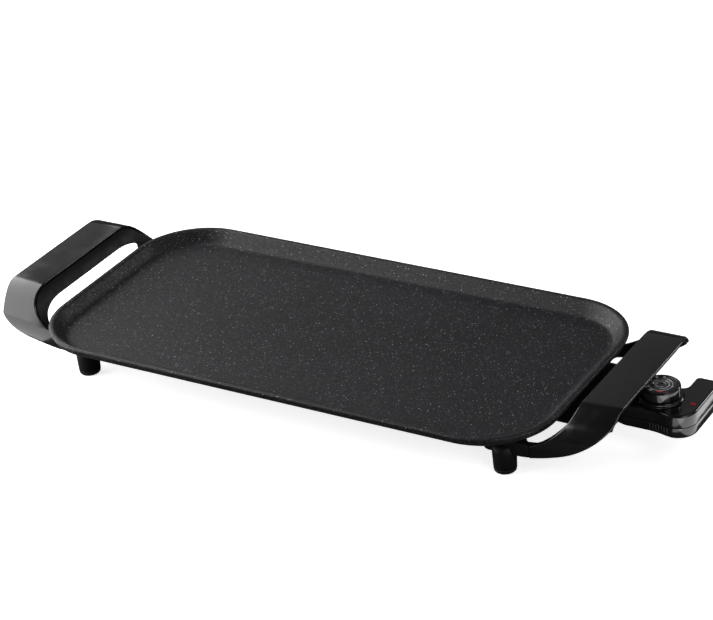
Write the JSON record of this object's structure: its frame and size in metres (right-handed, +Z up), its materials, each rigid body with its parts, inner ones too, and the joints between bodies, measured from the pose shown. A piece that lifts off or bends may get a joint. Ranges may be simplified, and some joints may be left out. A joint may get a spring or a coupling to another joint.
{
  "type": "electric griddle",
  "caption": "Long low electric griddle: rounded rectangular non-stick plate on arched black end handles with round feet, and a plug-in thermostat controller with dial.",
  "frame": {"origin": "middle of the assembly's bounding box, on the surface the feet stand on; the plate's own centre is 20.05 mm towards -X", "axes": "+X along the plate to the thermostat controller, +Y to the back, +Z up"},
  "size_m": [0.627, 0.24, 0.0623],
  "materials": {
    "plate_coating": "stone-look non-stick coating, fine pale specks, semi-matt",
    "element_steel": "dull heating element sheath",
    "steel": "zinc plated or stainless",
    "brass": "satin",
    "ceramic": "unglazed ceramic",
    "handle_gloss": "black, glossy on curves, satin on the flat top",
    "handle_matte": "black moulded phenolic",
    "foot_rubber": "black heat resistant rubber",
    "controller_gloss": "black glossy",
    "controller_matte": "black",
    "dial_black": "black glossy",
    "dial_print": null,
    "phenolic": "dark brown phenolic",
    "lens_red": "clear red",
    "lamp_glass": "neon lamp"
  },
  "bodies": {
    "base": {"griddle_plate": "plate_coating", "heating_element": "element_steel", "terminal_insulator_front": "ceramic", "terminal_pin_front": "steel", "terminal_insulator_back": "ceramic", "terminal_pin_back": "steel", "probe_guide": "steel", "socket_shroud": "handle_matte", "shroud_screw_front": "steel", "shroud_screw_back": "steel", "handle_cover_left": "handle_gloss", "handle_frame_left": "handle_matte", "cover_screw_left_front": "steel", "foot_tip_left_front": "foot_rubber", "handle_screw_left_front": "steel", "handle_washer_left_front": "steel", "cover_screw_left_back": "steel", "foot_tip_left_back": "foot_rubber", "handle_screw_left_back": "steel", "handle_washer_left_back": "steel", "handle_cover_right": "handle_gloss", "handle_frame_right": "handle_matte", "cover_screw_right_front": "steel", "foot_tip_right_front": "foot_rubber", "handle_screw_right_front": "steel", "handle_washer_right_front": "steel", "cover_screw_right_back": "steel", "foot_tip_right_back": "foot_rubber", "handle_screw_right_back": "steel", "handle_washer_right_back": "steel"},
    "controller": {"controller_lower_housing": "controller_gloss", "controller_upper_housing": "controller_gloss", "controller_screw_1": "steel", "controller_screw_2": "steel", "controller_screw_3": "steel", "contact_block": "phenolic", "sensing_probe": "steel", "pin_receptacle_front": "brass", "pin_receptacle_back": "brass", "blade_stack": "ceramic", "fixed_contact_blade": "brass", "dial_scale_ring": "controller_matte", "indicator_lens": "lens_red", "indicator_lamp": "lamp_glass", "cord_gland": "controller_matte"},
    "dial": {"dial_knob": "dial_black", "dial_face": "dial_print", "dial_spindle": "steel"},
    "contact_arm": {"moving_contact_blade": "brass"}
  },
  "joints": [
    {"name": "controller_unplug", "type": "slide", "parent": "base", "child": "controller", "axis": [1, 0, 0], "range_m": [0, 0.145]},
    {"name": "dial_turn", "type": "hinge", "parent": "controller", "child": "dial", "pos_m": [0.27995, 0, 0.052], "axis": [0, 0, -1], "range_deg": [0, 270]},
    {"name": "contact_flex", "type": "hinge", "parent": "controller", "child": "contact_arm", "pos_m": [0.27395, 0, 0.0339], "axis": [0, 1, 0], "range_deg": [0, 5.4]}
  ],
  "couplings": [
    {"joint": "contact_flex", "follows": "dial_turn", "ratio": 0.02}
  ]
}
